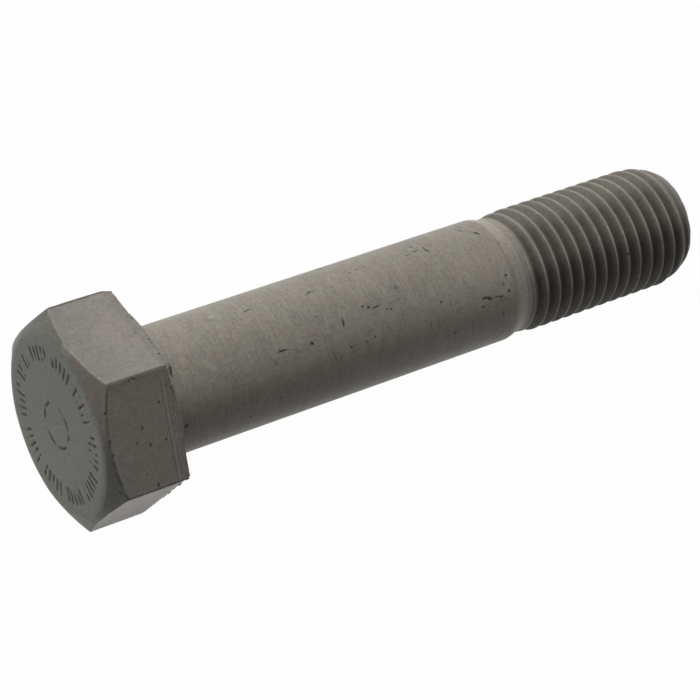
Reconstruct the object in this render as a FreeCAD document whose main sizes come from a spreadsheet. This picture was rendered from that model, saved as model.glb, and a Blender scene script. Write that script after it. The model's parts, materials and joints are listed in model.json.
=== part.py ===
"""Leaf spring bolt: a forged hexagon-head bolt with a plain shank and a rolled metric thread.

The bolt is drawn along +X in its own frame, with the top face of its head at x = 0 and one flat of the
hexagon upwards. It is then laid down as a loose bolt comes to rest: on the rear end of one flat of the
head and on the last full crest of the thread. The origin is on the surface that it lies on, under the
middle of the bolt, with +Z up. Lengths are in millimetres and angles in degrees.
"""

import FreeCAD, Part
import os
import re

import Sketcher

os.makedirs("parts", exist_ok=True)

DIMENSIONS = {
    # Hexagon head: the flats end in a short tapered rim, and the bearing face is a thin round pad
    "across_flats": 45.6,
    "head_height": 19.4,
    "top_face_inset": 1.65,
    "top_chamfer_angle": 30.0,
    "rim_length": 2.4,
    "rim_inset": 0.6,
    "rim_corner_inset": 0.3,
    "rim_corner_angle": 15.0,
    "washer_face_inset": 0.8,
    "washer_face_height": 0.6,
    # Shank: plain as far as a shallow neck, from which the rolled crests rise to their full height
    "under_head_length": 150.0,
    "under_head_fillet": 1.0,
    "shank_diameter": 30.0,
    "plain_length": 96.2,
    "neck_depth": 0.85,
    "neck_taper_length": 2.8,
    "neck_length": 0.6,
    "crest_rise_length": 6.0,
    # Thread: the groove has its full depth from full_groove_start, past the plain length, to the tip.
    # The crests of the last turn fade, as rolling leaves them, down to the chamfer of the blank.
    "thread_diameter": 29.85,
    "pitch": 3.5,
    "flank_angle": 30.0,
    "full_groove_start": 5.7,
    "runout_turns": 0.8,
    "crest_fade_length": 3.85,
    "crest_fade_depth": 1.15,
    "tip_chamfer": 1.3,
    "tip_chamfer_angle": 30.0,
}

# Places along the bolt, and other sizes that follow, as expressions on the names above
CORNER_RADIUS = "(across_flats / sqrt(3))"
CLEAR_OF_CORNERS = "(across_flats / sqrt(3) + rim_length)"
TOP_FACE_RADIUS = "(across_flats / 2 - top_face_inset)"
RIM_CORNER_RADIUS = "(across_flats / 2 - rim_corner_inset)"
WASHER_FACE_RADIUS = "(across_flats / 2 - washer_face_inset)"
NECK_RADIUS = "(shank_diameter / 2 - neck_depth)"
CHAMFER_RADIUS = "(thread_diameter / 2 - crest_fade_depth)"
TIP_RADIUS = "(%s - tip_chamfer)" % CHAMFER_RADIUS
FLAT_LENGTH = "(head_height - washer_face_height - rim_length)"
RIM_END = "(head_height - washer_face_height)"
PLAIN_END = "(head_height + plain_length)"
NECK_START = "(%s + neck_taper_length)" % PLAIN_END
NECK_END = "(%s + neck_length)" % NECK_START
CREST_START = "(%s + crest_rise_length)" % NECK_END
TIP = "(head_height + under_head_length)"
CHAMFER_START = "(%s - tip_chamfer / tan(tip_chamfer_angle))" % TIP
CREST_END = "(%s - crest_fade_length)" % CHAMFER_START

# Metric thread form: a sharp triangle with an eighth of its height off the crests and a sixth off the
# roots. The flanks are straight for most of the way down, and the rounded root is two chords.
SHARP_HEIGHT = "(pitch / 2 / tan(flank_angle))"
GROOVE_DEPTH = "(%s * 17 / 24)" % SHARP_HEIGHT
FLANK_DEPTH = "(%s * 5 / 8)" % GROOVE_DEPTH
CREST_HALF_WIDTH = "(pitch / 16)"
GROOVE_CENTRE = "(%s + full_groove_start)" % PLAIN_END
PROUD = "(pitch / 20)"

# The bolt lies on the rear end of a flat and on its last full crest, which tilts it down to the tip
REST_TILT = "atan((across_flats - thread_diameter) / 2 / (%s - %s))" % (CREST_END, FLAT_LENGTH)


def cell_for(word):
    """Point a word at its cell in the sheet, where it names a dimension."""
    return "sizes." + word[0] if word[0] in DIMENSIONS else word[0]


def bind(feature, name, expression):
    """Bind a property of a feature, or a constraint of a sketch, to the sheet."""
    feature.setExpression(name, re.sub("[a-z_]+", cell_for, expression))


def new_sketch(name, plane):
    """Add a sketch to the bolt, on one of its own origin planes."""
    sketch = bolt.newObject("Sketcher::SketchObject", name)
    sketch.AttachmentSupport = (origin_planes[plane], [""])
    sketch.MapMode = "FlatFace"
    return sketch


def draw_polygon(sketch, corners):
    """Draw a closed polygon from pairs of expressions, along the bolt and out from its axis."""
    count = len(corners)
    rough = [FreeCAD.Vector(10 * n + 10, 10 + n % 3) for n in range(count)]
    lines = [sketch.addGeometry(Part.LineSegment(rough[n - 1], rough[n])) for n in range(count)]
    for n, (along, across) in enumerate(corners):
        sketch.addConstraint(Sketcher.Constraint("Coincident", lines[n - 1], 2, lines[n], 1))
        for kind, expression in (("DistanceX", along), ("DistanceY", across)):
            index = sketch.addConstraint(Sketcher.Constraint(kind, -1, 1, lines[n], 2, 10.0))
            bind(sketch, "Constraints[%d]" % index, expression)


def turn(kind, name, corners):
    """Turn a profile round the bolt's axis, to add a Revolution or to cut a Groove."""
    profile = new_sketch(name + "_profile", "XZ_Plane")
    draw_polygon(profile, corners)
    feature = bolt.newObject("PartDesign::" + kind, name)
    feature.Profile = profile
    feature.ReferenceAxis = (profile, ["H_Axis"])
    feature.Angle = 360
    doc.recompute()
    return feature


def pad(name, profile, length):
    """Pad a sketch by a length given by an expression."""
    feature = bolt.newObject("PartDesign::Pad", name)
    feature.Profile = profile
    bind(feature, "Length", length)
    return feature


def cut_helix(name, profile, height):
    """Cut a right-hand helical groove with the thread's pitch."""
    feature = bolt.newObject("PartDesign::SubtractiveHelix", name)
    feature.Profile = profile
    feature.ReferenceAxis = (profile, ["H_Axis"])
    feature.Mode = "pitch-height-angle"
    bind(feature, "Pitch", "pitch")
    bind(feature, "Height", height)
    return feature


doc = FreeCAD.newDocument("leaf_spring_bolt")
sizes = doc.addObject("Spreadsheet::Sheet", "sizes")
for row, (alias, value) in enumerate(DIMENSIONS.items(), start=1):
    sizes.set("A%d" % row, alias)
    sizes.set("B%d" % row, str(value))
    sizes.setAlias("B%d" % row, alias)
doc.recompute()

bolt = doc.addObject("PartDesign::Body", "bolt")
bolt.Label = "bolt"
origin_planes = {feature.Role: feature for feature in bolt.Origin.OriginFeatures}

# Head: one hexagon, padded back to the top face as the six flats and forward as their tapered rim
hexagon = new_sketch("hexagon", "YZ_Plane")
bind(hexagon, "AttachmentOffset.Base.z", FLAT_LENGTH)
corners = []
for degrees in range(0, 360, 60):
    corner = ("%s * cos(%d)", "%s * sin(%d)")
    corners.append([form % (CORNER_RADIUS, degrees) for form in corner])
draw_polygon(hexagon, corners)
flats = pad("flats", hexagon, FLAT_LENGTH)
flats.Reversed = True
rim = pad("rim", hexagon, "rim_length")
bind(rim, "TaperAngle", "-atan(rim_inset / rim_length)")
doc.recompute()

# The top face is round, and a cone runs down from it over the six corners
turn(
    "Groove",
    "top_chamfer",
    [
        ("0", TOP_FACE_RADIUS),
        ("0", CLEAR_OF_CORNERS),
        ("(%s - %s) * tan(top_chamfer_angle)" % (CLEAR_OF_CORNERS, TOP_FACE_RADIUS), CLEAR_OF_CORNERS),
    ],
)

# A flatter cone takes the sharp corners off the rim
rim_cone_length = "(%s - %s) * tan(rim_corner_angle)" % (CLEAR_OF_CORNERS, RIM_CORNER_RADIUS)
turn(
    "Groove",
    "rim_corners",
    [
        (RIM_END, RIM_CORNER_RADIUS),
        (RIM_END, CLEAR_OF_CORNERS),
        ("%s - %s" % (RIM_END, rim_cone_length), CLEAR_OF_CORNERS),
    ],
)

# Bearing face, shank, neck and the blank of the thread, turned in one profile. The fillet under the
# head is small, so its arc is two chords that meet on the arc, half-way round it.
half_way = "under_head_fillet * (1 - cos(45))"
turn(
    "Revolution",
    "shank",
    [
        (RIM_END, "0"),
        (RIM_END, WASHER_FACE_RADIUS),
        ("head_height", WASHER_FACE_RADIUS),
        ("head_height", "shank_diameter / 2 + under_head_fillet"),
        ("head_height + %s" % half_way, "shank_diameter / 2 + %s" % half_way),
        ("head_height + under_head_fillet", "shank_diameter / 2"),
        (PLAIN_END, "shank_diameter / 2"),
        (NECK_START, NECK_RADIUS),
        (NECK_END, NECK_RADIUS),
        (CREST_START, "thread_diameter / 2"),
        (CREST_END, "thread_diameter / 2"),
        (CHAMFER_START, CHAMFER_RADIUS),
        (TIP, TIP_RADIUS),
        (TIP, "0"),
    ],
)

# Thread groove, in a tool that stands a little proud of the crests
groove = new_sketch("groove_profile", "XZ_Plane")
mouth = "(pitch / 2 - %s + %s * tan(flank_angle))" % (CREST_HALF_WIDTH, PROUD)
narrow = "(pitch / 2 - %s - %s * tan(flank_angle))" % (CREST_HALF_WIDTH, FLANK_DEPTH)
draw_polygon(
    groove,
    [
        ("%s - %s" % (GROOVE_CENTRE, mouth), "thread_diameter / 2 + %s" % PROUD),
        ("%s - %s" % (GROOVE_CENTRE, narrow), "thread_diameter / 2 - %s" % FLANK_DEPTH),
        (GROOVE_CENTRE, "thread_diameter / 2 - %s" % GROOVE_DEPTH),
        ("%s + %s" % (GROOVE_CENTRE, narrow), "thread_diameter / 2 - %s" % FLANK_DEPTH),
        ("%s + %s" % (GROOVE_CENTRE, mouth), "thread_diameter / 2 + %s" % PROUD),
    ],
)

# It runs out past the tip, and back to the neck on a cone that lifts it out of the steel
cut_helix("thread", groove, "%s - %s + pitch" % (TIP, GROOVE_CENTRE))
doc.recompute()
runout = cut_helix("runout", groove, "pitch * runout_turns")
runout.Reversed = True
bind(runout, "Angle", "atan(%s / pitch / runout_turns)" % GROOVE_DEPTH)
doc.recompute()

# The bolt lies down on the rear end of its lowest flat and on its last full crest, with the tip lower
bolt.Placement = FreeCAD.Placement(FreeCAD.Vector(), FreeCAD.Rotation(FreeCAD.Vector(0, 1, 0), 1))
bind(bolt, "Placement.Rotation.Angle", REST_TILT)
lowest_point = "(%s * sin(%s) + across_flats / 2 * cos(%s))" % (FLAT_LENGTH, REST_TILT, REST_TILT)
head_end = "(-%s * sin(%s))" % (TOP_FACE_RADIUS, REST_TILT)
tip_end = "(%s * cos(%s) + %s * sin(%s))" % (TIP, REST_TILT, TIP_RADIUS, REST_TILT)
bind(bolt, "Placement.Base.x", "-(%s + %s) / 2" % (head_end, tip_end))
bind(bolt, "Placement.Base.z", lowest_point)
doc.recompute()

failed = [item.Name for item in doc.Objects if "Invalid" in item.State or "Error" in item.State]
if failed:
    raise RuntimeError("these features failed: " + ", ".join(failed))
if bolt.Shape.isNull() or not bolt.Shape.isValid() or len(bolt.Shape.Solids) != 1:
    raise RuntimeError("the bolt isn't one valid solid")
bolt.Shape.exportStep("parts/%s.step" % bolt.Label)
print("%s: %.1f cubic centimetres" % (bolt.Label, bolt.Shape.Volume / 1000))
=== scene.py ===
# %% [markdown]
# A leaf spring bolt: one piece of steel, with a forged hexagon head and a rolled thread, lying on a
# pale floor. The solids come packed from CAD and are the frame of this scene. Here the bolt gets the
# skin of the real one: soft edges, a thread with rounded crests and roots, and a grey phosphate coat.

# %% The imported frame
import json
import math

import bmesh
import bpy
from mathutils import Matrix, Vector, noise


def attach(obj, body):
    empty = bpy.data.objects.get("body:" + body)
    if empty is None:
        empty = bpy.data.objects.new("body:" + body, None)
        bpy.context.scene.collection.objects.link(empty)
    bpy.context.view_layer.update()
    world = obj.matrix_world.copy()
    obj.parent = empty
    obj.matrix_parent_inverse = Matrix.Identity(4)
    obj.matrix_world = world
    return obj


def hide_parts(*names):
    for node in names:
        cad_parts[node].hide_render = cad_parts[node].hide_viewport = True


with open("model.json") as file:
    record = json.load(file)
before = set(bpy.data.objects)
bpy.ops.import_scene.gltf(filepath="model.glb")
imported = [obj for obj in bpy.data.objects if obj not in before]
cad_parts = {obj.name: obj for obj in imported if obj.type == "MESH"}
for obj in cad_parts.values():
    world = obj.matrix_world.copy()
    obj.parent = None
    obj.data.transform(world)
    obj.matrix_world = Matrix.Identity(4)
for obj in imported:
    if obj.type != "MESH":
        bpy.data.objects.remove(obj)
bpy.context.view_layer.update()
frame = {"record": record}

# %% [markdown]
# The record names the places where other parts meet the bolt. The one for the spanner gives the middle
# of the head's top face and the way the bolt points, and two more give the radius of the shank and of
# the thread. The bolt is built in its own frame, in millimetres from that face, and one matrix takes
# the finished mesh to metres in the row's frame, where the bolt lies a little sloped.

# %% The bolt's own axes
MOUNTS = {mount["name"]: mount for mount in frame["record"]["mounts"]}
TOP_FACE_CENTRE = Vector(MOUNTS["hex_drive"]["pos_m"])
ALONG = -Vector(MOUNTS["hex_drive"]["axis"]).normalized()
ACROSS = Vector((0.0, 1.0, 0.0))
UP = ALONG.cross(ACROSS)
MM = 0.001
TURN_TO_ROW = Matrix((ALONG, ACROSS, UP)).transposed().to_4x4()
BOLT_TO_ROW = Matrix.Translation(TOP_FACE_CENTRE) @ TURN_TO_ROW @ Matrix.Scale(MM, 4)
print("the bolt's axis runs along", tuple(round(part, 4) for part in ALONG))

# %% [markdown]
# The camera comes first, so that every later step can be looked at in the photograph's own view. It
# stands about 0.6 m away with a long lens, on the head's side, and looks down at the bolt. It is rolled
# a little to one side too. The Standard view shows the colours as they are worked out, so that the
# white of the floor comes out white.

# %% Camera
CAMERA_TARGET = Vector((-0.00953, -0.00407, 0.01625))
CAMERA_DISTANCE = 0.62454
CAMERA_AZIMUTH = math.radians(-128.309)
CAMERA_ELEVATION = math.radians(44.410)
CAMERA_ROLL = math.radians(7.657)
CAMERA_LENS = 138.74
SENSOR_WIDTH = 36.0

camera = bpy.data.objects.new("camera", bpy.data.cameras.new("camera"))
bpy.context.scene.collection.objects.link(camera)
bpy.context.scene.camera = camera
level = math.cos(CAMERA_ELEVATION)
towards_camera = Vector((
    level * math.cos(CAMERA_AZIMUTH), level * math.sin(CAMERA_AZIMUTH), math.sin(CAMERA_ELEVATION),
))
turned = towards_camera.to_track_quat("Z", "Y") @ Matrix.Rotation(CAMERA_ROLL, 4, "Z").to_quaternion()
camera.matrix_world = Matrix.LocRotScale(CAMERA_TARGET + CAMERA_DISTANCE * towards_camera, turned, None)
camera.data.lens = CAMERA_LENS
camera.data.sensor_width = SENSOR_WIDTH
bpy.context.scene.view_settings.view_transform = "Standard"
print("camera at", tuple(round(part, 4) for part in camera.matrix_world.translation))

# %% [markdown]
# Node trees are long to write by hand. A Wire is what comes out of a node. Sums on it are written as
# in Python and add Math nodes to its tree, and any other node comes from its one method `node`. Two
# more methods turn a measure into a mask between 0 and 1, which is how a part of the bolt is picked.

# %% Wires
class Wire:
    """What comes out of a node. Sums on it add Math nodes to the same tree."""

    def __init__(self, tree, socket=None):
        self.tree = tree
        self.socket = socket

    def node(self, kind, settings=None, inputs=None, output=0):
        """Add a node: its settings first, then the values or wires of its sockets."""
        node = self.tree.nodes.new(kind)
        for name, value in (settings or {}).items():
            setattr(node, name, value)
        for name, value in (inputs or {}).items():
            if isinstance(value, Wire):
                self.tree.links.new(value.socket, node.inputs[name])
            else:
                node.inputs[name].default_value = value
        return Wire(self.tree, node.outputs[output])

    def math(self, operation, *others):
        """Add a Math node on this wire and others."""
        return self.node("ShaderNodeMath", {"operation": operation}, dict(enumerate((self, *others))))

    def clamped(self, low=0.0, high=1.0):
        """Hold it between two values."""
        return self.math("MAXIMUM", low).math("MINIMUM", high)

    def smooth(self, start, end):
        """Rise smoothly from 0 at start to 1 at end."""
        share = ((self - start) / (end - start)).clamped()
        return share * share * (3 - 2 * share)

    def between(self, low, high, soft):
        """1 between two values and 0 outside them, with soft ends."""
        return self.smooth(low - soft, low + soft) * (1 - self.smooth(high - soft, high + soft))

    def __add__(self, other):
        return self.math("ADD", other)

    __radd__ = __add__

    def __mul__(self, other):
        return self.math("MULTIPLY", other)

    __rmul__ = __mul__

    def __sub__(self, other):
        return self.math("SUBTRACT", other)

    def __rsub__(self, other):
        return self * -1 + other

    def __truediv__(self, other):
        return self.math("DIVIDE", other)

# %% [markdown]
# The head is a hexagon with its corners turned down to a cone in front and a flatter one behind, on a
# thin round bearing face. Every one of these shapes can be read off as one section of the head, from
# the middle of the top face out and round to the shank, that changes with the angle round the axis.
# So the head is lofted: the same number of points on each section, joined across to the next one.

# %% Sizes of the head
ACROSS_FLATS = 45.6
TOP_FACE_RADIUS = 21.15
TOP_CHAMFER = math.radians(30)
FLAT_LENGTH = 16.4
RIM_END = 18.8
RIM_INSET = 0.6
RIM_CORNER_RADIUS = 22.5
RIM_CORNER_ANGLE = math.radians(15)
WASHER_FACE_RADIUS = 22.0
HEAD_HEIGHT = 19.4
FILLET = 1.0
SHANK_RADIUS = MOUNTS["shank"]["dims"]["r_mm"]
COLUMNS = 168
HEAD_COLUMNS = 2 * COLUMNS

# Each stretch of the top face: how far out it reaches, and its rows.
FACE_ROWS = ((4.2, 7), (6.6, 9), (14.0, 9), (19.0, 14))
print("head:", ACROSS_FLATS, "mm across its flats and", HEAD_HEIGHT, "mm high")

def wall_radius(around):
    """Distance from the axis to the hexagon's wall, at an angle from one of its corners."""
    from_middle = around % (math.pi / 3) - math.pi / 6
    return ACROSS_FLATS / 2 / math.cos(from_middle)

def on_bolt(along, out, around):
    """A point in the bolt's own frame, in millimetres, at an angle that starts on the camera's side."""
    return Vector((along, -out * math.cos(around), out * math.sin(around)))

# %% [markdown]
# A forged head is never a true hexagon. Its flats have slow waves, two of its rear corners are fuller
# than the turned cone behind them, its edges have nicks from handling, and its rear edge is ragged. A
# bump in the coat would leave the outline straight, so these are small moves of the points themselves.

# %% Unevenness of the forging
FULL_REAR_CORNERS = {120: 3.0, 0: 3.3}
FULL_CORNER_SPREAD = 24
WAVE_DEPTH, WAVE_LENGTH = 0.10, 9.0
RIPPLE_DEPTH, RIPPLE_LENGTH = 0.04, 2.2
RAGGED_ALONG, RAGGED_IN = 0.3, 0.35

# Each nick: place along, degrees round, half length, half width, depth.
NICKS = (
    (0.9, 92.5, 1.3, 3.0, 0.55),
    (2.4, 118.0, 0.8, 1.6, 0.30),
    (1.6, 34.0, 0.5, 1.4, 0.20),
    (2.2, 4.0, 0.7, 2.0, 0.30),
)

def away_from(around, degrees):
    """Angle in degrees between a place round the bolt and another one."""
    return abs((math.degrees(around) - degrees + 180) % 360 - 180)

def fullness(around):
    """How much further out the rear corners reach than the turned cone behind the head."""
    full = 0.0
    for degrees, extra in FULL_REAR_CORNERS.items():
        near = max(0.0, 1 - away_from(around, degrees) / FULL_CORNER_SPREAD)
        full += extra * near * near * (3 - 2 * near)
    return full

def hollow(along, out, around):
    """How far the wall is sunk below a true hexagon: slow waves and ripples of the forging, and nicks."""
    place = on_bolt(along, out, around)
    sunk = WAVE_DEPTH * (0.5 + 0.5 * noise.noise(place / WAVE_LENGTH))
    sunk += RIPPLE_DEPTH * (0.5 + 0.5 * noise.noise(place / RIPPLE_LENGTH))
    for at, degrees, half_length, half_width, depth in NICKS:
        apart = away_from(around, degrees) * math.pi / 180 * out
        far = math.hypot((along - at) / half_length, apart / half_width)
        sunk += depth * max(0.0, 1 - far * far) ** 2
    return sunk

def raggedness(around):
    """Noise read off round two circles, a coarse and a fine one, so that it closes on itself."""
    coarse = noise.noise(on_bolt(30.0, 9.0, around))
    fine = noise.noise(on_bolt(60.0, 26.0, around) / 1.3)
    return abs(0.45 * coarse + 0.30 * fine)

# %% The head's section at one angle
def head_section(around):
    """Corners of the section as (along, out, rounding, steps to the next corner)."""
    wall = wall_radius(around)
    rim_corner = RIM_CORNER_RADIUS + fullness(around)
    front = (wall - TOP_FACE_RADIUS) * math.tan(TOP_CHAMFER)
    taper = RIM_INSET / (ACROSS_FLATS / 2) / (RIM_END - FLAT_LENGTH) * wall
    cone = 1 / math.tan(RIM_CORNER_ANGLE)
    # The rear cone meets the tapered rim at a place that both of their straight lines give.
    cut = (rim_corner + RIM_END * cone - wall - taper * FLAT_LENGTH) / (cone - taper)
    cut = min(cut, RIM_END) - RAGGED_ALONG * raggedness(around)
    rim = min(rim_corner, wall - taper * (RIM_END - FLAT_LENGTH)) - RAGGED_IN * raggedness(around)
    top_edge = (0.0, TOP_FACE_RADIUS, 1.3, 5)
    cone_edge = (front, wall, 0.3, 26)
    flat_end = (FLAT_LENGTH, wall, 0.4, 5)
    rear_edge = (cut, wall - taper * (cut - FLAT_LENGTH), 0.3, 3)
    rim_end = (RIM_END, rim, 0.2, 2)
    pad_root = (RIM_END, WASHER_FACE_RADIUS, 0.1, 2)
    pad_edge = (HEAD_HEIGHT, WASHER_FACE_RADIUS, 0.15, 8)
    under_head = (HEAD_HEIGHT, SHANK_RADIUS, FILLET, 2)
    shank_start = (HEAD_HEIGHT + 2 * FILLET, SHANK_RADIUS, 0.0, 0)
    return [top_edge, cone_edge, flat_end, rear_edge, rim_end, pad_root, pad_edge, under_head, shank_start]

# %% Soft corners
CORNER_STEPS = 4
CUT_LIMIT = 0.48
NO_LENGTH = 1e-9

def direction(line, length):
    """A line's direction, or none where two corners fall on one place."""
    return line / length if length > NO_LENGTH else Vector((0.0, 0.0))

def soften(corners):
    """Points along a chain of corners, each corner turned into a short curve."""
    places = [Vector((along, out)) for along, out, _, _ in corners]
    lengths = [(b - a).length for a, b in zip(places, places[1:])]
    cuts = [0.0]
    for n in range(1, len(corners) - 1):
        cuts.append(min(corners[n][2], CUT_LIMIT * lengths[n - 1], CUT_LIMIT * lengths[n]))
    cuts.append(0.0)
    points = []
    for n, length in enumerate(lengths):
        a, b = places[n], places[n + 1]
        towards = direction(b - a, length)
        start, end = a + towards * cuts[n], b - towards * cuts[n + 1]
        steps = corners[n][3]
        points += [start.lerp(end, step / steps) for step in range(steps + 1)]
        if n + 2 < len(places):
            onward = direction(places[n + 2] - b, lengths[n + 1])
            after = b + onward * cuts[n + 1]
            for step in range(1, CORNER_STEPS):
                share = step / CORNER_STEPS
                points.append(end.lerp(b, share).lerp(b.lerp(after, share), share))
    return points

# %% Rows of the top face
def face_points():
    """Points of the top face from its middle outwards, closer together where it is stamped."""
    points, inner = [], 0.0
    for outer, steps in FACE_ROWS:
        points += [(0.0, inner + (outer - inner) * step / steps) for step in range(1, steps + 1)]
        inner = outer
    # The last one is left out, because the rows of the edge begin before it.
    return points[:-1]

*FACE_POINTS, LAST_FACE_POINT = face_points()
print("top face:", len(FACE_POINTS) + 1, "rows, the last one", round(LAST_FACE_POINT[1], 2), "mm out")

# %% Loft the head
HOLLOW_END = HEAD_HEIGHT - 0.7
HOLLOW_RISE = 0.8

head = bmesh.new()
middle = head.verts.new((0.0, 0.0, 0.0))
sections = []
for column in range(HEAD_COLUMNS):
    around = 2 * math.pi * column / HEAD_COLUMNS
    chain = [(*LAST_FACE_POINT, 0.0, 3)] + head_section(around)
    section = []
    for along, out in FACE_POINTS + soften(chain):
        if along < HOLLOW_END and out > TOP_FACE_RADIUS:
            out -= hollow(along, out, around) * min(1.0, (out - TOP_FACE_RADIUS) / HOLLOW_RISE)
        section.append(head.verts.new(on_bolt(along, out, around)))
    sections.append(section)

# %% Join the sections
# The shank has half as many columns, so on the last row only every second point is used.
for column, section in enumerate(sections):
    beside = sections[(column + 1) % HEAD_COLUMNS]
    head.faces.new((middle, section[0], beside[0]))
    for row in range(len(section) - 2):
        head.faces.new((section[row], section[row + 1], beside[row + 1], beside[row]))
    if column % 2 == 0:
        last = sections[(column + 2) % HEAD_COLUMNS]
        head.faces.new((section[-2], section[-1], beside[-2]))
        head.faces.new((beside[-2], section[-1], last[-1]))
        head.faces.new((beside[-2], last[-1], last[-2]))
loose = [vert for vert in head.verts if not vert.link_faces]
bmesh.ops.delete(head, geom=loose, context="VERTS")
head_mesh = bpy.data.meshes.new("bolt")
head.to_mesh(head_mesh)
head.free()
bolt = bpy.data.objects.new("forged_bolt", head_mesh)
bpy.context.scene.collection.objects.link(bolt)
print("head:", len(sections[0]), "points on each of", HEAD_COLUMNS, "sections")

# %% [markdown]
# The thread follows one simple rule: the crest moves one pitch along for each turn. So Geometry Nodes
# make it, as a ribbon wound round the bolt. The ribbon's rows run along the crest and the groove, so
# both stay crisp with few rows, and each turn of the ribbon meets the next one edge to edge. Before
# the neck and past the tip its points are held on a circle, on the end face, or at the middle of it.
# Both the ribbon and the plain shank start as a flat grid, one unit from row to row, and each point's
# row and column are read back from where it lies on that grid.

# %% Trees with named inputs
def new_tree(name, mesh_input):
    """A tree that takes a mesh and a material and gives a mesh."""
    tree = bpy.data.node_groups.new(name, "GeometryNodeTree")
    tree.interface.new_socket("Geometry", in_out="OUTPUT", socket_type="NodeSocketGeometry")
    tree.interface.new_socket(mesh_input, in_out="INPUT", socket_type="NodeSocketGeometry")
    tree.interface.new_socket("Material", in_out="INPUT", socket_type="NodeSocketMaterial")
    return tree

def add_inputs(tree, sizes, counts):
    """Give a tree a named input for each size and each count."""
    for kind, values in (("NodeSocketFloat", sizes), ("NodeSocketInt", counts)):
        for name, value in values.items():
            tree.interface.new_socket(name, in_out="INPUT", socket_type=kind).default_value = value

def input_wires(tree, input_node):
    """A wire for each named input of a tree."""
    return {socket.name: Wire(tree, socket) for socket in input_node.outputs if socket.name}

# %% Sizes of the shank and the thread
THREAD_SIZES = {
    "Shank radius": SHANK_RADIUS,
    "Shank start": HEAD_HEIGHT + 2 * FILLET,
    "Thread start": 114.0,
    "Neck start": 114.9,
    "Neck bottom": 118.7,
    "Neck end": 118.7,
    "Crests full": 125.4,
    "Neck depth": 0.85,
    "Thread radius": MOUNTS["thread"]["dims"]["r_mm"],
    "Pitch": 3.5,
    "Crest place": 123.92,
    "Groove start": 118.2,
    "Groove full": 121.4,
    "Last full crest": 163.3,
    "Crest fade": 0.299,
    "Tip radius": 12.475,
    "Tip chamfer": 0.577,
    "Tip": 169.4,
}
THREAD_COUNTS = {"Columns": COLUMNS, "Shank rows": 50, "Rows per turn": 16, "Turns": 19, "First turn": -3}
tree = new_tree("shank_and_thread", "Head")
add_inputs(tree, THREAD_SIZES, THREAD_COUNTS)
group_input = tree.nodes.new("NodeGroupInput")
size = input_wires(tree, group_input)
start = Wire(tree)
print("the tree has", len(size), "named inputs")

# %% Grids wrapped round the bolt
def grid(rows, columns):
    """A grid with one unit between rows and one unit round all the columns, and its places."""
    mesh = start.node("GeometryNodeMeshGrid", {}, {
        "Size X": rows - 1, "Size Y": 1.0, "Vertices X": rows, "Vertices Y": columns + 1,
    })
    place = start.node("GeometryNodeInputPosition")
    row = place.node("ShaderNodeSeparateXYZ", {}, {0: place}, "X") + (rows - 1) / 2
    turn = place.node("ShaderNodeSeparateXYZ", {}, {0: place}, "Y") + 0.5
    return mesh, row, turn

def wrap(mesh, along, out, turn):
    """Put a grid's points at a place along the bolt, out from its axis and round it."""
    angle = turn * (2 * math.pi)
    place = start.node("ShaderNodeCombineXYZ", {}, {
        0: along, 1: out * angle.math("COSINE") * -1, 2: out * angle.math("SINE"),
    })
    return mesh.node("GeometryNodeSetPosition", {}, {"Geometry": mesh, "Position": place})

def keep(mesh, name, value, kind="FLOAT"):
    """Keep a value for each point under a name, for the coat to read."""
    return mesh.node("GeometryNodeStoreNamedAttribute", {"data_type": kind, "domain": "POINT"}, {
        "Geometry": mesh, "Name": name, "Value": value,
    })

# %% The plain shank
shank_grid, row, turn = grid(size["Shank rows"], size["Columns"])
share = row / (size["Shank rows"] - 1)
along = size["Shank start"] + share * (size["Thread start"] - size["Shank start"])
shank = wrap(shank_grid, along, size["Shank radius"], turn)

# %% The ribbon's place along the bolt
ribbon_grid, row, turn = grid(size["Turns"] * size["Rows per turn"], size["Columns"])
phase = row / size["Rows per turn"] + size["First turn"]
along = size["Crest place"] + size["Pitch"] * (phase - turn)
beyond = (along - size["Tip"]).math("MAXIMUM", 0.0)
step = size["Pitch"] / size["Rows per turn"]
near_tip = (along - size["Tip"]).math("ABSOLUTE").math("LESS_THAN", step / 2)
along = along.math("MAXIMUM", size["Thread start"]).math("MINIMUM", size["Tip"])
along = along + near_tip * (size["Tip"] - along)

# %% [markdown]
# How far out the ribbon lies is the least of a few simple surfaces: the blank that the thread was rolled
# on, with its neck, its slow fade over the last turn and its chamfer, and the groove. A metric groove has
# flanks at 30 degrees to either side, leaves a crest one eighth of the pitch wide, and goes 17/24 of the
# sharp triangle's height deep. Smooth minimum and maximum nodes round the corners where two of them
# meet. Where the groove begins, it is lifted out of the steel, as on the real bolt.

# %% The blank's distance from the axis
FADE_ROUNDING, CHAMFER_ROUNDING = 0.2, 0.3

dip = along.smooth(size["Neck start"], size["Neck bottom"]) * size["Neck depth"]
neck_radius = size["Shank radius"] - size["Neck depth"]
rise = along.smooth(size["Neck end"], size["Crests full"]) * (size["Thread radius"] - neck_radius)
taper = size["Thread radius"] - (along - size["Last full crest"]) * size["Crest fade"]
chamfer = size["Tip radius"] + (size["Tip"] - along) * size["Tip chamfer"]
blank = size["Shank radius"] - dip + rise
blank = blank.math("SMOOTH_MIN", taper, FADE_ROUNDING).math("SMOOTH_MIN", chamfer, CHAMFER_ROUNDING)

# %% The groove's distance from the axis
FLANK_SLOPE = math.tan(math.radians(30))
CREST_ROUNDING, ROOT_ROUNDING, EDGE_ROUNDING = 0.12, 0.5, 0.05
LIFT = 1.2

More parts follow.
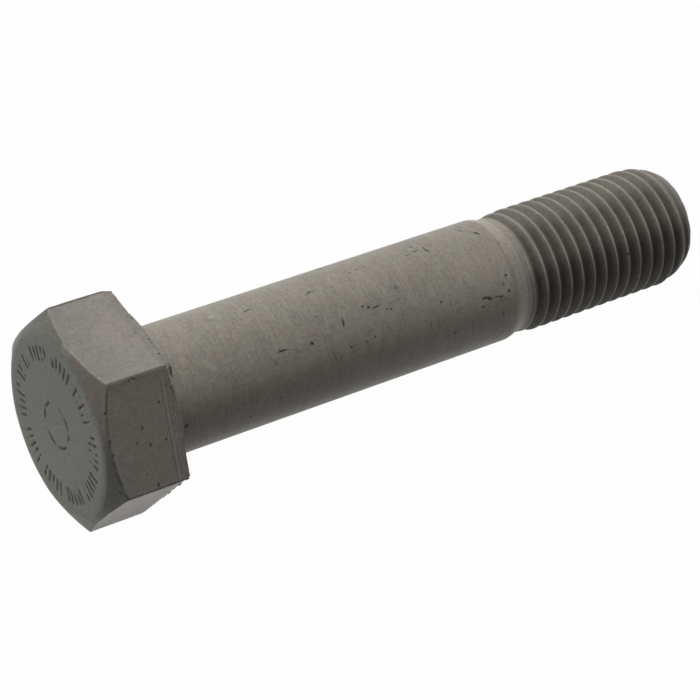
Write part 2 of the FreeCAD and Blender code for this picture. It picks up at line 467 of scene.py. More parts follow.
from_crest = (phase + 0.5).math("FRACT") - 0.5
full_depth = size["Pitch"] / 2 / FLANK_SLOPE * 17 / 24
flank = (from_crest.math("ABSOLUTE") * size["Pitch"] - size["Pitch"] / 16) / FLANK_SLOPE
flank = flank.math("SMOOTH_MAX", 0.0, CREST_ROUNDING).math("SMOOTH_MIN", full_depth, ROOT_ROUNDING)
lift = (1 - along.smooth(size["Groove start"], size["Groove full"])) * full_depth * LIFT
groove_floor = size["Thread radius"] - flank + lift
out = blank.math("SMOOTH_MIN", groove_floor, EDGE_ROUNDING)

# %% Close the end face and wind the ribbon
# Past the tip the points move in to the middle over 1.6 pitches, and the last few fall on it.
END_FACE_PITCHES = 1.6
CLOSED_WITHIN = 0.05

to_middle = (1 - beyond / (END_FACE_PITCHES * size["Pitch"])).math("MAXIMUM", 0.0)
to_middle = to_middle * (1 - to_middle.math("LESS_THAN", CLOSED_WITHIN))
ribbon = keep(ribbon_grid, "groove_depth", ((blank - out) / full_depth).clamped())
ribbon = keep(ribbon, "past_crest", from_crest * 2)
ribbon = wrap(ribbon, along, out * to_middle, turn)
print("shank and thread:", len(tree.nodes), "nodes")

# %% [markdown]
# The top face is stamped: a ring of short radial strokes in groups, and a small ring round the middle.
# They are dents, so the tree pushes the face's own points in, by a depth worked out from each point's
# distance from the axis and its angle, and keeps that depth as an attribute for the coat, which fills
# the dents with painted shade.

# %% Stamp the top face
STAMP_SIZES = {
    "Stroke start": 14.7,
    "Stroke end": 18.3,
    "Stroke width": 0.62,
    "Stamp depth": 0.26,
    "Ring radius": 5.3,
    "Ring width": 0.65,
    "Ring depth": 0.20,
}
STAMP_COUNTS = {"Strokes": 60, "Strokes in a group": 6}
STROKE_END_SOFTNESS = 0.3

add_inputs(tree, STAMP_SIZES, STAMP_COUNTS)
size = input_wires(tree, group_input)
place = start.node("GeometryNodeInputPosition")
x, y, z = (place.node("ShaderNodeSeparateXYZ", {}, {0: place}, name) for name in "XYZ")
far = (y * y + z * z).math("SQRT")
around = z.math("ARCTAN2", y) / (2 * math.pi) + 0.5
number = around * size["Strokes"]
from_stroke = (number.math("FRACT") - 0.5).math("ABSOLUTE") / size["Strokes"] * (2 * math.pi) * far
across = 1 - from_stroke.smooth(size["Stroke width"] * 0.25, size["Stroke width"] * 0.75)
lengthwise = far.between(size["Stroke start"], size["Stroke end"], STROKE_END_SOFTNESS)
in_group = (number / size["Strokes in a group"]).math("FRACT") * size["Strokes in a group"]
in_group = in_group.math("LESS_THAN", size["Strokes in a group"] - 1)
wear = place.node("ShaderNodeTexNoise", {}, {"Vector": place, "Scale": 0.35, "Detail": 2.0})
strokes = across * lengthwise * in_group * wear.smooth(0.30, 0.55) * size["Stamp depth"]
from_ring = (far - size["Ring radius"]).math("ABSOLUTE")
ring = 1 - from_ring.smooth(size["Ring width"] * 0.2, size["Ring width"])
ring = ring * wear.smooth(0.35, 0.6) * size["Ring depth"]
on_top_face = x.math("LESS_THAN", 0.05)
stamped = (strokes + ring) * on_top_face
push = start.node("ShaderNodeCombineXYZ", {}, {0: stamped})
stamped_head = keep(size["Head"], "stamp_depth", stamped)
stamped_head = stamped_head.node("GeometryNodeSetPosition", {}, {"Geometry": stamped_head, "Offset": push})

# %% Join them to the head
MERGE_WITHIN = 0.01

join = tree.nodes.new("GeometryNodeJoinGeometry")
for part in (ribbon, shank, stamped_head):
    tree.links.new(part.socket, join.inputs[0])
joined = keep(Wire(tree, join.outputs[0]), "bolt_place", place, "FLOAT_VECTOR")
joined = joined.node("GeometryNodeMergeByDistance", {}, {"Geometry": joined, "Distance": MERGE_WITHIN})
joined = joined.node("GeometryNodeSetShadeSmooth", {}, {"Geometry": joined})
joined = joined.node("GeometryNodeRealizeInstances", {}, {"Geometry": joined})
joined = joined.node("GeometryNodeSetMaterial", {}, {"Geometry": joined, "Material": size["Material"]})
tree.links.new(joined.socket, tree.nodes.new("NodeGroupOutput").inputs[0])
print("the whole bolt:", len(tree.nodes), "nodes")

# %% [markdown]
# The bolt has a thin grey phosphate coat, which is dull and shows everything that happened to the steel
# under it: grain, streaks round the shank, specks, cracks and scuffs. The tree has kept each point's
# place in the bolt's own frame, so the pattern can follow the bolt: one wire is the distance along it,
# one the distance from its axis, and one the angle round it. The angle is 0 on the side towards the
# camera and 90 on top, so the hexagon's upper flat lies from 60 to 120 degrees.

# %% Where a point of the coat lies
coat = bpy.data.materials.new("grey_phosphate")
coat.use_nodes = True
skin = Wire(coat.node_tree)
place = skin.node("ShaderNodeAttribute", {"attribute_name": "bolt_place"}, {}, "Vector")
groove = skin.node("ShaderNodeAttribute", {"attribute_name": "groove_depth"}, {}, "Fac")
stamp = skin.node("ShaderNodeAttribute", {"attribute_name": "stamp_depth"}, {}, "Fac")
past_crest = skin.node("ShaderNodeAttribute", {"attribute_name": "past_crest"}, {}, "Fac")
along, y, z = (skin.node("ShaderNodeSeparateXYZ", {}, {0: place}, name) for name in "XYZ")
far = (y * y + z * z).math("SQRT")
around = z.math("ARCTAN2", y * -1)
degrees = around * (180 / math.pi)

# %% Parts of the bolt as masks
on_face = 1 - along.smooth(0.10, 0.45)
past_cone = along - (far - TOP_FACE_RADIUS) * math.tan(TOP_CHAMFER)
on_head = 1 - along.smooth(HEAD_HEIGHT - 0.3, HEAD_HEIGHT)
on_cone = (1 - past_cone.smooth(0.15, 0.45)) * (1 - on_face) * on_head
on_walls = on_head * (1 - on_face) * (1 - on_cone)
on_rim = on_head * along.smooth(FLAT_LENGTH - 0.1, FLAT_LENGTH + 0.5)
on_shank = (1 - on_head) * (1 - along.smooth(113.6, 114.6))
in_neck = along.between(114.9, 118.3, 0.2)
on_thread = along.smooth(119.0, 120.2)
on_tip = along.smooth(169.1, 169.38)
on_upper_flat = degrees.smooth(50, 66)
on_lower_flat = 1 - degrees.smooth(-10, 6)
at_far_corner = degrees.smooth(100, 112)
on_upper_side = z.smooth(-6.0, 16.0)
low_on_face = 1 - z.smooth(-18.0, -2.0)

# %% [markdown]
# Nothing on a real coat is one even colour. Noise of several sizes, from half a millimetre to 17, gives
# the grain and the clouds, and roughens the lines along the edges. The same noise on squeezed places
# comes out drawn, as streaks that run round the shank. Some of it goes into the gloss and the bump too.

# %% Grain and mottling
def squeezed(along_scale, across_scale):
    """The place with its parts scaled, so that a pattern on it comes out drawn."""
    return place.node("ShaderNodeVectorMath", {"operation": "MULTIPLY"}, {
        0: place, 1: (along_scale, across_scale, across_scale),
    })

def pattern(where, millimetres, detail=2.0, roughness=0.5):
    """Noise round 0, mostly between -1 and 1, whose blotches are some millimetres across."""
    return (where.node("ShaderNodeTexNoise", {}, {
        "Vector": where, "Scale": 1 / millimetres, "Detail": detail, "Roughness": roughness,
    }) - 0.5) * 4

grain = pattern(place, 0.55, 2.0, 0.6)
blotches = pattern(place, 1.4, 1.0)
mottling = pattern(place, 3.2, 3.0, 0.55)
clouds = pattern(place, 17.0, 2.0)
broken = pattern(place, 1.6, 2.0)
streaks = pattern(squeezed(1.6, 0.16), 0.9, 2.0)
end_blotches = pattern(squeezed(0.2, 1.0), 0.9, 1.0)
print("coat so far:", len(coat.node_tree.nodes), "nodes")

# %% [markdown]
# The real bolt has pits, cracks and rubbed spots, and each one in sight is put in its own place. One dark
# mark in the list of pits is no pit but painted shadow, on the shank beside the head's bearing face. A
# mark
# is an ellipse: its place along the bolt, its degrees round it, its length and width in millimetres, and
# its turn in degrees. Two dot products measure a point's place along and across the mark, and squeezing
# the first one makes the ellipse a circle, whose radius is then taken off the distance. Short marks are
# plain circles. A little noise on the place first makes them all ragged. A painted picture would do as
# well, but sums need no file and stay sharp close up.

# %% Pits and cracks, and one painted shadow
PITS_AND_SHADOW_GAP = [
    (47.8, 95.0, 1.9, 0.50, 4), (59.1, 100.0, 0.6, 0.48, 0), (64.0, 92.0, 2.5, 0.45, 16),
    (61.7, 67.1, 0.5, 0.40, 0), (58.4, 45.8, 1.0, 0.80, 0), (50.8, 48.1, 2.9, 0.60, -2),
    (67.6, 53.9, 2.7, 0.55, -99), (67.9, 31.4, 0.7, 0.56, 0), (76.3, 100.3, 0.6, 0.48, 0),
    (78.4, 101.2, 0.6, 0.48, 0), (80.7, 101.7, 0.6, 0.48, 0), (73.8, 62.2, 0.7, 0.56, 0),
    (75.1, 59.7, 0.9, 0.72, 0), (76.9, 58.1, 2.6, 0.50, 18), (79.3, 53.0, 0.7, 0.56, 0),
    (80.5, 52.5, 0.6, 0.44, 0), (74.6, 33.7, 0.6, 0.48, 0), (72.3, 30.9, 0.6, 0.48, 0),
    (72.3, 128.7, 3.0, 0.70, -66), (40.9, -3.0, 0.7, 0.56, 0), (48.7, 6.9, 0.6, 0.44, 0),
    (58.4, 6.2, 0.5, 0.40, 0), (92.0, 98.1, 1.7, 0.35, -2), (95.0, 108.2, 1.7, 0.35, -62),
    (94.3, 100.0, 2.0, 0.45, 4), (97.0, 99.8, 1.6, 0.40, -75), (97.2, 95.8, 1.8, 0.50, -63),
    (109.1, 108.7, 2.7, 0.40, -60), (110.5, 101.7, 1.4, 0.35, -58), (111.7, 96.4, 2.3, 0.55, -55),
    (114.7, 78.2, 0.6, 0.48, 0), (112.5, 47.5, 0.9, 0.76, 0), (111.3, 40.5, 0.6, 0.48, 0),
    (113.4, 38.1, 0.6, 0.44, 0), (112.5, 33.5, 0.8, 0.60, 0), (105.5, 34.3, 2.2, 0.75, -6),
    (106.6, 32.7, 2.3, 0.80, -34), (109.2, 31.1, 3.3, 0.40, -11), (110.3, 30.3, 0.5, 0.40, 0),
    (110.4, 13.1, 0.8, 0.64, 0), (93.7, 43.6, 0.7, 0.56, 0), (104.5, 27.5, 0.5, 0.40, 0),
    (104.6, 26.9, 1.2, 0.35, 0), (93.8, 26.0, 0.5, 0.40, 0), (101.4, 16.5, 0.5, 0.40, 0),
    (89.9, 26.3, 0.5, 0.36, 0), (96.5, 11.8, 1.3, 0.45, -129), (111.0, -9.4, 1.6, 0.45, 37),
    (110.5, -16.4, 1.6, 0.40, 49), (98.9, 99.4, 0.3, 0.24, 0), (107.5, 13.1, 0.3, 0.28, 0),
    (97.9, 38.6, 0.3, 0.28, 0), (14.3, 44.6, 0.7, 0.56, 0), (9.4, 33.4, 0.8, 0.60, 0),
    (7.6, 26.3, 0.5, 0.40, 0), (10.6, 23.3, 0.6, 0.44, 0), (14.5, 22.9, 0.5, 0.40, 0),
    (10.7, 2.3, 0.7, 0.56, 0), (1.5, 32.4, 0.8, 0.64, 0), (1.6, 24.3, 0.7, 0.56, 0),
    (1.7, 47.6, 0.6, 0.48, 0), (8.9, 59.2, 3.0, 0.35, -1), (8.6, 8.6, 0.4, 0.32, 0),
    # The mark 23.4 mm along and 63 degrees round is painted shadow in the gap beside the head's bearing
    # face.
    (5.3, 24.7, 0.3, 0.28, 0), (23.4, 63.0, 3.2, 0.80, 77), (23.9, 12.6, 1.1, 1.0, 0),
    (148.2, 29.2, 1.0, 0.70, 0), (137.9, 77.0, 0.9, 0.60, 0), (135.3, 82.0, 1.6, 0.50, -60),
    (126.1, 19.6, 0.7, 0.50, 0), (139.0, 31.6, 0.8, 0.50, 0), (141.1, 48.4, 0.6, 0.40, 0),
]

# %% Faint lines and pale spots
FAINT_LINES = [
    (53.9, 45.2, 3.8, 0.30, -20), (47.5, 45.9, 3.8, 0.35, -56), (47.9, 41.9, 3.8, 0.30, -55),
    (63.2, 30.4, 4.4, 0.50, -72), (82.3, 57.5, 3.3, 0.35, 6), (83.9, 69.0, 1.6, 1.3, 0),
    (97.8, 32.3, 3.0, 0.50, 17), (110.2, 27.6, 3.8, 0.90, -6), (15.5, 112.0, 1.8, 0.30, -78),
    (14.5, 110.3, 2.0, 0.30, -79), (17.7, 39.3, 7.4, 0.30, -97),
]
PALE_SPOTS = [
    (32.4, 57.0, 4.4, 1.1, -55), (33.3, 39.5, 0.7, 0.56, 0), (62.1, 52.5, 2.0, 0.50, -34),
    (39.7, 102.2, 1.6, 1.3, 0), (110.5, -10.8, 0.5, 0.40, 0),
]

# %% The coat rolled out flat
SHAKE = 0.9

def vector_math(operation, first, second, output=0):
    """Add a Vector Math node on two vectors."""
    return skin.node("ShaderNodeVectorMath", {"operation": operation}, {0: first, 1: second}, output)

flat_place = skin.node("ShaderNodeCombineXYZ", {}, {0: along, 1: around * SHANK_RADIUS})
shake = place.node("ShaderNodeTexNoise", {}, {"Vector": place, "Scale": 1.3, "Detail": 2.0}, "Color")
shake = shake.node("ShaderNodeVectorMath", {"operation": "MULTIPLY_ADD"}, {
    0: shake, 1: (SHAKE, SHAKE, 0.0), 2: (-SHAKE / 2, -SHAKE / 2, 0.0),
})
flat_place = vector_math("ADD", flat_place, shake)

# %% A mask for each list of marks
LONGEST_CIRCLE = 1.1
MARK_INSIDE, MARK_OUTSIDE = -0.16, 0.10

def marked(marks):
    """1 in the middle of the marks of a list, and 0 away from them."""
    nearest = None
    for at, degrees_round, length, width, turn in marks:
        middle = (at, math.radians(degrees_round) * SHANK_RADIUS, 0.0)
        if length < LONGEST_CIRCLE:
            distance = vector_math("DISTANCE", flat_place, middle, "Value") - (length + width) / 4
        else:
            stretch = width / length
            cosine, sine = math.cos(math.radians(turn)), math.sin(math.radians(turn))
            own = vector_math("SUBTRACT", flat_place, middle)
            lengthwise = vector_math("DOT_PRODUCT", own, (cosine * stretch, sine * stretch, 0.0), "Value")
            crosswise = vector_math("DOT_PRODUCT", own, (-sine, cosine, 0.0), "Value")
            distance = (lengthwise * lengthwise + crosswise * crosswise).math("SQRT") - width / 2
        nearest = distance if nearest is None else nearest.math("MINIMUM", distance)
    return 1 - nearest.smooth(MARK_INSIDE, MARK_OUTSIDE)

pits_and_shadow_gap = marked(PITS_AND_SHADOW_GAP)
faint_lines = marked(FAINT_LINES)
pale_spots = marked(PALE_SPOTS)
print("marks:", len(PITS_AND_SHADOW_GAP), "pits,", len(FAINT_LINES), "faint lines,", len(PALE_SPOTS), "pale spots")

# %% Specks anywhere
# One point in each cell of a Voronoi pattern could be a speck, and the cell's own colour picks some.
cells = {"Vector": place, "Scale": 0.42}
from_cell_point = place.node("ShaderNodeTexVoronoi", {}, cells, "Distance")
cell_colour = place.node("ShaderNodeTexVoronoi", {}, cells, "Color")
cell_number = skin.node("ShaderNodeSeparateXYZ", {}, {0: cell_colour}, "X")
specks = (1 - from_cell_point.smooth(0.05, 0.13)) * cell_number.smooth(0.72, 0.80)

# %% [markdown]
# An edge shows what a bolt has been through, and how the light falls on it. The corners between the flats
# are dark lines, partly wear and partly painted shade, fainter on the upper side. The edge where the front
# cone meets the flats has painted shade on the camera's side and a painted highlight on top, both broken
# by noise. The rear rim is crumbly, with crumbs made paler on top as a painted highlight, and fine rings
# of its own. A mesh would need very many faces for lines of a few tenths of a millimetre, so they are
# masks, worked out from how far a point is from each edge.

# %% Edges of the head
HALF_FLAT = ACROSS_FLATS / 2 * math.tan(math.pi / 6)
CONE_EDGE_SHIFT = 0.4

from_middle = ((around * (3 / math.pi)).math("FRACT") - 0.5) * (math.pi / 3)
to_corner = HALF_FLAT - (far * from_middle.math("SINE")).math("ABSOLUTE")
to_corner = to_corner + broken * 0.12 - at_far_corner * 0.25
corner_line = (1 - to_corner.smooth(0.10, 0.50)) * on_walls
to_cone_edge = (past_cone - CONE_EDGE_SHIFT + broken * 0.08).math("ABSOLUTE")
front_line = (1 - to_cone_edge.smooth(0.05, 0.34)) * on_head * far.smooth(21.6, 22.2)
rim_lines = (along.between(17.3, 17.4, 0.15) + along.between(18.45, 18.55, 0.12)) * on_head
rim_crumbs = on_rim * pattern(place, 1.0, 3.0, 0.7).smooth(0.1, 0.9)
# The front edge gets painted shade below 56 to 62 degrees round, on the camera's side, and a painted
# highlight above.
shaded_side = 1 - degrees.smooth(56, 62)

# %% Rings round the rim and the neck
def rings(shake, per_millimetre):
    """Noise round 0 that changes along the bolt only, so that it comes out as rings."""
    return along.node("ShaderNodeTexNoise", {"noise_dimensions": "1D"}, {
        "W": along + broken * shake, "Scale": per_millimetre, "Detail": 1.0,
    }) - 0.5

rim_rings = rings(0.05, 1.7) * along.between(14.6, 18.8, 0.4) * on_head * (1 - degrees.smooth(50, 62))
neck_rings = rings(0.04, 2.6) * along.between(117.4, 121.5, 0.5)

# %% [markdown]
# Phosphate takes up a slightly different grey on forged, rolled and turned steel, and one stretch of the
# front cone has a brown tint. So each part of the bolt has its own base colour, mixed in by its mask.

# %% Colours
SHANK_COLOUR = (0.326, 0.300, 0.253, 1.0)
WALL_COLOUR = (0.292, 0.266, 0.232, 1.0)
FACE_COLOUR = (0.252, 0.250, 0.216, 1.0)
BROWN_CONE_COLOUR = (0.275, 0.243, 0.210, 1.0)
THREAD_COLOUR = (0.225, 0.208, 0.176, 1.0)
DARK = (0.030, 0.026, 0.020, 1.0)
PALE = (0.52, 0.50, 0.45, 1.0)

def blend(share, first, second):
    """Mix two colours: the first where the share is 0, the second where it is 1."""
    return skin.node("ShaderNodeMix", {"data_type": "RGBA"}, {0: share, 6: first, 7: second}, 2)

colour = blend(on_walls, SHANK_COLOUR, WALL_COLOUR)
colour = blend((on_face + on_cone).clamped(), colour, FACE_COLOUR)
colour = blend(on_cone * degrees.between(25, 88, 15), colour, BROWN_CONE_COLOUR)
colour = blend(on_thread, colour, THREAD_COLOUR)

# %% [markdown]
# The tone is one factor on the colour, and it has two parts. The first is the coat's own unevenness. The
# second is how the real bolt was lit: a few lamps can't give every reflection of a studio, so each part
# is made a little lighter or darker by where it faces. Every share is a mask times an amount.

# %% Unevenness of the coat
tone = 1 + mottling * 0.075 + clouds * 0.05 + grain * 0.20 + blotches * 0.065
tone = tone + on_shank * streaks * 0.11 + on_face * end_blotches * 0.05

# %% Painted light and shade on the head
# Painted light and shade: each flat of the head is made lighter or darker by the way it faces, the upper
# flat lighter towards the rim; the rim is made darker, least on top, the cone darker, most of all on the
# camera's side, and the top face lighter low down.
wall_tone = 0.84 + 0.21 * (1 - on_upper_flat) + 0.20 * on_lower_flat
wall_tone = wall_tone + along.smooth(4.0, 14.0) * on_upper_flat * 0.16
rim_shade = on_rim * (0.16 - on_upper_flat * 0.11)
cone_shade = on_cone * (0.10 + 0.42 * degrees.between(-25, 32, 14))
tone = tone * (1 + on_walls * (wall_tone - 1)) * (1 - rim_shade) * (1 - cone_shade)
tone = tone * (1 + rim_rings * 1.1) * (1 + on_face * 0.10 * low_on_face)

# %% Painted light and shade on the shank and the neck
# Painted light and shade: the shank is made lighter on a stretch between the camera's side and the top,
# the more so towards its far end, and darker on the camera's side and a little on top. The neck is made
# lighter all round.
underside = degrees.between(-18, 24, 10)
facing = degrees.between(34, 58, 10)
far_end = along.smooth(80.0, 106.0) * degrees.between(26, 72, 14)
upper_side = degrees.smooth(66, 95)
tone = tone * (1 + on_shank * (far_end * 0.20 + facing * 0.13 - underside * 0.27 - upper_side * 0.06))
tone = tone * (1 + in_neck * 0.30 + neck_rings * 1.5)

# %% Painted light and shade on the thread
# Painted light and shade: the thread is made darker low down, deep in the groove and on the flanks that
# face the tip, most of all on its lower side, and a little lighter elsewhere.
tip_flank = past_crest.smooth(0.0, 0.12) * groove.smooth(0.02, 0.25)
groove_shade = 0.42 * degrees.between(22, 88, 14) + 0.12 * degrees.between(52, 90, 10)
low_shade = 0.43 * degrees.between(5, 42, 12) + 0.08 * degrees.between(66, 92, 8)
thread_tone = 0.42 + 0.72 * z.smooth(-2.0, 17.0) - groove * 0.15
thread_tone = thread_tone * (1 - tip_flank * (0.36 - 0.26 * on_upper_side))
thread_tone = thread_tone * (1 - groove * groove_shade) * (1.15 - low_shade)

# %% Painted highlight on the crests, partly rubbed wear, and the lighter tip
# Painted highlight, partly rubbed wear: a thin pale line along each crest, far stronger below the top than
# on it, strongest 18 to 45 degrees round. The tip's end face is made a little lighter too.
crest_line = (1 - groove.smooth(0.0, 0.10)) * (1 - past_crest.math("ABSOLUTE").smooth(0.05, 0.16))
crest_highlight = 0.15 + 0.70 * (1 - degrees.smooth(50, 72)) + 0.60 * degrees.between(18, 45, 10)
thread_tone = thread_tone * (1 + crest_line * (1 - on_tip) * crest_highlight)
tone = tone * (1 + on_thread * (thread_tone - 1))
tone = tone * (1 + on_tip * (end_blotches * 0.06 + 0.16))
colour = colour.node("ShaderNodeVectorMath", {"operation": "SCALE"}, {0: colour, "Scale": tone})

# %% Marks on the coat, and painted shade and highlights on the head's edges and dents
def strongest(*shares):
    """At each point, the greatest of some shares."""
    greatest = shares[0]
    for share in shares[1:]:
        greatest = greatest.math("MAXIMUM", share)
    return greatest

dark_share = strongest(
    pits_and_shadow_gap * 0.90,
    faint_lines * 0.34,
    specks * 0.45 * (1 - on_thread),
    # Dark corner lines, partly wear and partly painted shade, fainter on the upper side except at the far
    # corners.
    corner_line * (0.72 - on_upper_side * 0.35 * (1 - at_far_corner)),
    # Painted shade along the front edge, on the camera's side.
    front_line * shaded_side * broken.smooth(-0.9, 0.5) * 0.60,
    # Painted shade in the stamped dents.
    stamp.smooth(0.03, 0.20) * 0.80,
)
pale_share = strongest(
    pale_spots * 0.34,
    # Pale crumbs on the rim, made paler on the upper side as a painted highlight.
    rim_crumbs * (0.42 + on_upper_side * 0.25),
    rim_lines * 0.12,
    # Painted highlight along the front edge, on top.
    front_line * (1 - shaded_side) * broken.smooth(-0.6, 0.8) * 0.32,
)
colour = blend(pale_share, colour, PALE)
colour = blend(dark_share, colour, DARK)
shader = coat.node_tree.nodes["Principled BSDF"]
coat.node_tree.links.new(colour.socket, shader.inputs["Base Color"])

# %% [markdown]
# Phosphate is dull: its roughness stays round one half, with little mirror in it, and the marks are
# duller still. The fine relief is a bump, because grain a few hundredths of a millimetre high would need
# millions of faces. Specks and corner lines are sunk, and the rim's crumbs stand proud.

# %% Gloss
roughness = 0.52 - on_walls * 0.08 + mottling * 0.03 + grain * 0.02 + dark_share * 0.2
coat.node_tree.links.new(roughness.clamped(0.2, 0.9).socket, shader.inputs["Roughness"])
shader.inputs["Metallic"].default_value = 0.0
shader.inputs["Specular IOR Level"].default_value = 0.25

# %% Bump
height = grain * 0.016 + mottling * 0.014 + on_shank * streaks * 0.008 - specks * 0.04
height = height - corner_line * 0.03 + rim_crumbs * 0.14 + on_rim * broken * 0.05
bump = height.node("ShaderNodeBump", {}, {"Strength": 1.0, "Distance": MM, "Height": height})
coat.node_tree.links.new(bump.socket, shader.inputs["Normal"])
print("coat:", len(coat.node_tree.nodes), "nodes")

# %% [markdown]
# Now the tree is put on the head's mesh as a modifier. Its inputs are set by their sockets' identifiers,
# and what it makes is turned into a plain mesh, which takes its place in the row's frame. The count
# of open edges shows that the head, the shank and the thread have closed into one skin, and a positive
# volume that its faces point outwards.

# %% Grow the bolt
def set_input(modifier, name, value):
    """Set a tree's input on a modifier, by its socket's identifier."""
    for item in modifier.node_group.interface.items_tree:
        if item.name == name and item.in_out == "INPUT":
            modifier[item.identifier] = value

grow = bolt.modifiers.new("grow", "NODES")
grow.node_group = tree
for values in (THREAD_SIZES, THREAD_COUNTS, STAMP_SIZES, STAMP_COUNTS, {"Material": coat}):
    for name, value in values.items():
        set_input(grow, name, value)
evaluated = bolt.evaluated_get(bpy.context.evaluated_depsgraph_get())
grown = bpy.data.meshes.new_from_object(evaluated)
bolt.modifiers.clear()
bolt.data = grown
grown.transform(BOLT_TO_ROW)

# %% Measure the bolt and place it
check = bmesh.new()
check.from_mesh(grown)
open_edges = sum(1 for edge in check.edges if not edge.is_contiguous)
volume = check.calc_volume(signed=True) / MM ** 3 / 1000
check.free()
print("bolt:", len(grown.vertices), "points,", len(grown.polygons), "faces")
print("bolt:", open_edges, "open edges, volume", round(volume, 2), "cm3")
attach(bolt, "root")
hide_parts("bolt")

# %% [markdown]
# Along the head's rear edge the forging has left crumbs of flash: small lumps of scale and squeezed-out
# steel that make the edge look torn. A loop of points follows that edge, and Geometry Nodes put a
# flattened, dented ball on some of them, each turned and scaled by its own random numbers. They are
# a piece of their own, sunk a little into the edge, so the bolt's skin stays one plain closed mesh.

# %% The loop that the crumbs sit on
# The rear edge is the fourth corner of each section.
REAR_EDGE = 3
SUNK_ALONG, SUNK_IN = 0.1, 0.25

loop_mesh = bpy.data.meshes.new("flash_loop")
loop = []
for column in range(COLUMNS):
    around = 2 * math.pi * column / COLUMNS
    edge_along, edge_out, _, _ = head_section(around)[REAR_EDGE]
    loop.append(on_bolt(edge_along - SUNK_ALONG, edge_out - SUNK_IN, around))
loop_mesh.from_pydata(loop, [(n, (n + 1) % COLUMNS) for n in range(COLUMNS)], [])
crumbs = bpy.data.objects.new("flash_crumbs", loop_mesh)
bpy.context.scene.collection.objects.link(crumbs)

# %% The crumbs as a tree
CRUMB_SIZES = {"Smallest": 0.15, "Largest": 0.62, "Share kept": 0.5, "Lowest": -19.5}
CRUMB_COUNTS = {"Places": 300, "Seed": 5}

crumb_tree = new_tree("flash_crumbs", "Loop")
add_inputs(crumb_tree, CRUMB_SIZES, CRUMB_COUNTS)
crumb = input_wires(crumb_tree, crumb_tree.nodes.new("NodeGroupInput"))
path = crumb["Loop"].node("GeometryNodeMeshToCurve", {}, {"Mesh": crumb["Loop"]})
path = path.node("GeometryNodeCurveToPoints", {"mode": "COUNT"}, {"Curve": path, "Count": crumb["Places"]})

def chance(low, high, offset):
    """A random vector for each point, from the tree's seed."""
    return path.node("FunctionNodeRandomValue", {"data_type": "FLOAT_VECTOR"}, {
        0: low, 1: high, "Seed": crumb["Seed"] + offset,
    })

# %% A dented ball
BALL_FACES = 80
DENT = 1.1

ball = path.node("GeometryNodeMeshIcoSphere", {}, {"Radius": 1.0, "Subdivisions": 2})
dents = path.node("ShaderNodeTexNoise", {}, {"Scale": 1.3, "Detail": 1.0}, "Color")
dents = dents.node("ShaderNodeVectorMath", {"operation": "MULTIPLY_ADD"}, {
    0: dents, 1: (DENT,) * 3, 2: (-DENT / 2,) * 3,
})
ball = ball.node("GeometryNodeSetPosition", {}, {"Geometry": ball, "Offset": dents})

# %% Which places keep a crumb, and how large it is
height = path.node("ShaderNodeSeparateXYZ", {}, {0: path.node("GeometryNodeInputPosition")}, "Z")
draw = path.node("FunctionNodeRandomValue", {"data_type": "FLOAT"}, {
    2: 0.0, 3: 1.0, "Seed": crumb["Seed"],
}, 1)
kept = draw.math("LESS_THAN", crumb["Share kept"]) * height.math("GREATER_THAN", crumb["Lowest"])
luck = path.node("ShaderNodeSeparateXYZ", {}, {0: chance((0.0,) * 3, (1.0,) * 3, 1)}, "X")
across = crumb["Smallest"] + (crumb["Largest"] - crumb["Smallest"]) * luck.math("POWER", 2.0)
flattened = path.node("ShaderNodeVectorMath", {"operation": "SCALE"}, {
    0: chance((0.6, 0.5, 0.35), (1.7, 1.1, 0.8), 2), "Scale": across,
})

# %% Put the crumbs on the loop
lumps = path.node("GeometryNodeInstanceOnPoints", {}, {
    "Points": path, "Selection": kept, "Instance": ball,
    "Rotation": chance((-math.pi,) * 3, (math.pi,) * 3, 3), "Scale": flattened,
})
lumps = lumps.node("GeometryNodeRealizeInstances", {}, {"Geometry": lumps})
lumps = lumps.node("GeometryNodeSetShadeSmooth", {}, {"Geometry": lumps})
lumps = keep(lumps, "bolt_place", path.node("GeometryNodeInputPosition"), "FLOAT_VECTOR")
lumps = lumps.node("GeometryNodeSetMaterial", {}, {"Geometry": lumps, "Material": crumb["Material"]})
crumb_tree.links.new(lumps.socket, crumb_tree.nodes.new("NodeGroupOutput").inputs[0])

# %% Grow the crumbs
flash = crumbs.modifiers.new("flash", "NODES")
flash.node_group = crumb_tree
for name, value in {**CRUMB_SIZES, **CRUMB_COUNTS, "Material": coat}.items():
    set_input(flash, name, value)
evaluated = crumbs.evaluated_get(bpy.context.evaluated_depsgraph_get())
crumb_mesh = bpy.data.meshes.new_from_object(evaluated)
crumbs.modifiers.clear()
crumbs.data = crumb_mesh
crumb_mesh.transform(BOLT_TO_ROW)
print("crumbs:", len(crumb_mesh.polygons) // BALL_FACES, "lumps of flash")
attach(crumbs, "root")

# %% [markdown]
# The bolt lies on a plain pale sheet. The sheet is lit by the lamps like everything else, which gives it
# the bolt's soft shadow, and it bounces light back up under the bolt. For what looks straight at it, and
# for reflections of it, most of it is mixed with plain white, so that it reads as a white background.

# %% Floor
FLOOR_HALF = 2.0
WHITE = (1.0, 1.0, 1.0, 1.0)
PAPER_GREY = (0.66, 0.66, 0.66, 1.0)
PAPER_ROUGHNESS = 0.9
SHEET_WHITENESS = 0.985

def seen_directly(wire):
    """1 for rays from the camera, in reflections and through glass, and 0 for bounced light."""
    seen = wire.node("ShaderNodeLightPath", output="Is Camera Ray")
    for name in ("Is Glossy Ray", "Is Transmission Ray"):
        seen = seen.math("MAXIMUM", wire.node("ShaderNodeLightPath", output=name))
    return seen

floor_mesh = bpy.data.meshes.new("floor")
corners = [(x * FLOOR_HALF, y * FLOOR_HALF, 0.0) for x, y in ((-1, -1), (1, -1), (1, 1), (-1, 1))]
floor_mesh.from_pydata(corners, [], [(0, 1, 2, 3)])
floor = bpy.data.objects.new("floor", floor_mesh)
bpy.context.scene.collection.objects.link(floor)

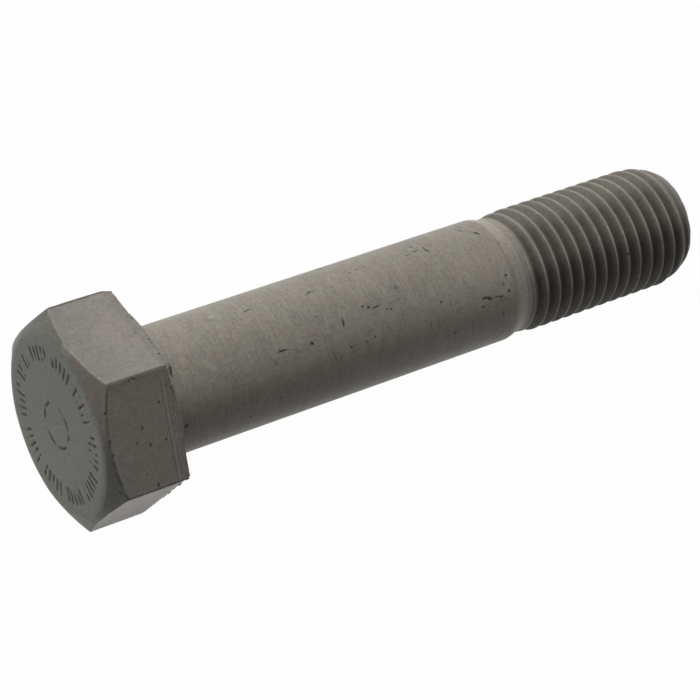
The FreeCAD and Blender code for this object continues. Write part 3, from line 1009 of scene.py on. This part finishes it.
# %% The sheet's paper
paper = bpy.data.materials.new("white_paper")
paper.use_nodes = True
paper_wire = Wire(paper.node_tree)
paper_shader = paper.node_tree.nodes["Principled BSDF"]
paper_shader.inputs["Base Color"].default_value = PAPER_GREY
paper_shader.inputs["Roughness"].default_value = PAPER_ROUGHNESS
plain_white = paper_wire.node("ShaderNodeEmission", {}, {"Color": WHITE, "Strength": 1.0})
whitened = paper_wire.node("ShaderNodeMixShader", {}, {
    0: seen_directly(paper_wire) * SHEET_WHITENESS,
    1: Wire(paper.node_tree, paper_shader.outputs[0]),
    2: plain_white,
})
paper.node_tree.links.new(whitened.socket, paper.node_tree.nodes["Material Output"].inputs["Surface"])
floor_mesh.materials.append(paper)
print("floor:", 2 * FLOOR_HALF, "m on each side")

# %% [markdown]
# The light is soft and comes from above and behind, as from large studio lamps over the table, and the
# side towards the camera gets little of it. That is why the bolt darkens towards its lower edge, and the
# coat's painted shade adds to it. The underside is lit mostly by what the sheet sends back. The world is
# white for what looks straight at it and in reflections, and black for everything else, so the sheet has
# no horizon, and apart from the light and shade painted into the coat, the lamps alone set them.

# %% World
world = bpy.data.worlds.new("studio")
bpy.context.scene.world = world
world.use_nodes = True
world_wire = Wire(world.node_tree)
background = world.node_tree.nodes["Background"]
background.inputs["Color"].default_value = WHITE
world.node_tree.links.new(seen_directly(world_wire).socket, background.inputs["Strength"])

# %% Lamps
def hang_lamp(name, place, side, power):
    """A square soft lamp of a side in metres and a power in watts, turned to the bolt's middle."""
    light = bpy.data.lights.new(name, "AREA")
    light.shape = "SQUARE"
    light.size = side
    light.energy = power
    lamp = bpy.data.objects.new(name, light)
    bpy.context.scene.collection.objects.link(lamp)
    lamp.location = place
    lamp.rotation_euler = Vector(place).to_track_quat("Z", "Y").to_euler()

hang_lamp("overhead", (-0.10, 0.22, 0.80), 0.9, 4.6)
hang_lamp("behind", (0.14, 0.60, 0.62), 0.7, 2.5)
hang_lamp("low_behind", (-0.20, 0.75, 0.35), 0.5, 0.4)
print("lamps:", len(bpy.data.lights), "area lights")
